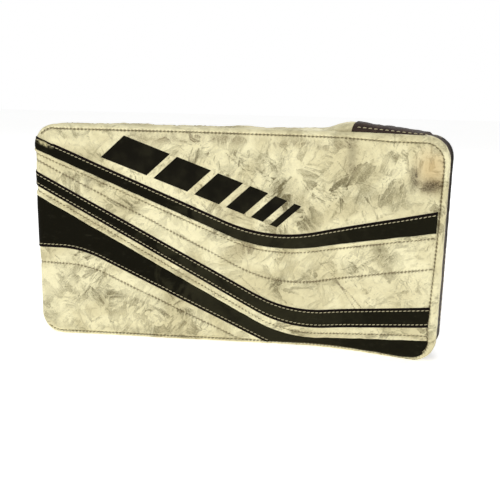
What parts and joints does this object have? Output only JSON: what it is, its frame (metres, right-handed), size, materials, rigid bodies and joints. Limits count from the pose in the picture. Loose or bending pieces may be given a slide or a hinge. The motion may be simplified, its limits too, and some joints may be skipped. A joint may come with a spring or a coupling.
{
  "type": "goalie blocker",
  "caption": "Flared rectangular goalie blocker board in scuffed light leather with dark sewn stripes, and a padded glove, thumb guard and strapped cuff on its rear.",
  "frame": {"origin": "on the thumb-side wall, under the middle of the flat board, midway along the board's length and midway through its thickness", "axes": "+X along the board towards its flared forearm end, +Y from the face towards the palm, +Z from the thumb side up to the little-finger side"},
  "size_m": [0.3882, 0.1363, 0.203],
  "materials": {
    "white_leather": "satin",
    "rear_leather": "satin",
    "binding_leather": "satin",
    "guard_leather": "satin",
    "black_leather": "satin",
    "dark_leather": "satin",
    "emblem_film": "satin",
    "palm_suede": "matte",
    "palm_patch_suede": "matte",
    "foam": "matte",
    "dark_mesh": "matte",
    "hook_and_loop": "matte",
    "strap_webbing": "matte",
    "plastic_sheet": "satin",
    "black_plastic": "satin",
    "plated_steel": "satin"
  },
  "bodies": {
    "board": {"front_cover": "white_leather", "front_foam": "foam", "stiffener_sheet": "plastic_sheet", "core_foam": "foam", "rear_cover": "rear_leather", "side_wall_lower": "white_leather", "side_wall_upper": "white_leather", "side_wall_finger_end": "white_leather", "side_wall_dark": "dark_leather", "edge_binding": "binding_leather", "rear_binding": "black_leather", "stripe_upper": "black_leather", "stripe_middle": "black_leather", "stripe_lower": "black_leather", "emblem_bars": "emblem_film", "mount_loop_patch": "hook_and_loop", "mount_plate": "plastic_sheet", "mount_bolts": "plated_steel", "tee_nuts": "plated_steel", "backhand_pad": "dark_mesh", "finger_backing_pad": "dark_mesh", "index_guard": "guard_leather", "index_guard_insert": "plastic_sheet", "little_finger_guard": "guard_leather", "palm_leather": "palm_suede", "palm_patch": "palm_patch_suede", "cuff_back_pad": "dark_mesh", "cuff_pad_thumb_side": "guard_leather", "cuff_pad_outer_side": "guard_leather", "cuff_loop_patch": "hook_and_loop", "strap_ring": "black_plastic"},
    "finger_index": {"stall_index": "palm_suede"},
    "finger_middle": {"stall_middle": "palm_suede"},
    "finger_ring": {"stall_ring": "palm_suede"},
    "finger_little": {"stall_little": "palm_suede"},
    "thumb": {"thumb_stall": "palm_suede", "thumb_guard": "guard_leather", "thumb_guard_insert": "plastic_sheet"},
    "strap": {"wrist_strap": "strap_webbing", "strap_hook_patch": "hook_and_loop", "strap_pull_tab": "black_leather"}
  },
  "joints": [
    {"name": "index_finger_curl", "type": "hinge", "parent": "board", "child": "finger_index", "pos_m": [-0.035, 0.0465, 0.065], "axis": [0, 0, -1], "range_deg": [0, 85]},
    {"name": "middle_finger_curl", "type": "hinge", "parent": "board", "child": "finger_middle", "pos_m": [-0.035, 0.0465, 0.091], "axis": [0, 0, -1], "range_deg": [0, 85]},
    {"name": "ring_finger_curl", "type": "hinge", "parent": "board", "child": "finger_ring", "pos_m": [-0.035, 0.0465, 0.117], "axis": [0, 0, -1], "range_deg": [0, 85]},
    {"name": "little_finger_curl", "type": "hinge", "parent": "board", "child": "finger_little", "pos_m": [-0.035, 0.0465, 0.143], "axis": [0, 0, -1], "range_deg": [0, 85]},
    {"name": "thumb_swing", "type": "hinge", "parent": "board", "child": "thumb", "pos_m": [0.026, 0.0465, 0.0345], "axis": [0, 0, -1], "range_deg": [-22, 35]},
    {"name": "wrist_strap_opening", "type": "hinge", "parent": "board", "child": "strap", "pos_m": [0.092, 0.083, 0.1594], "axis": [1, 0, 0], "range_deg": [0, 150]}
  ]
}
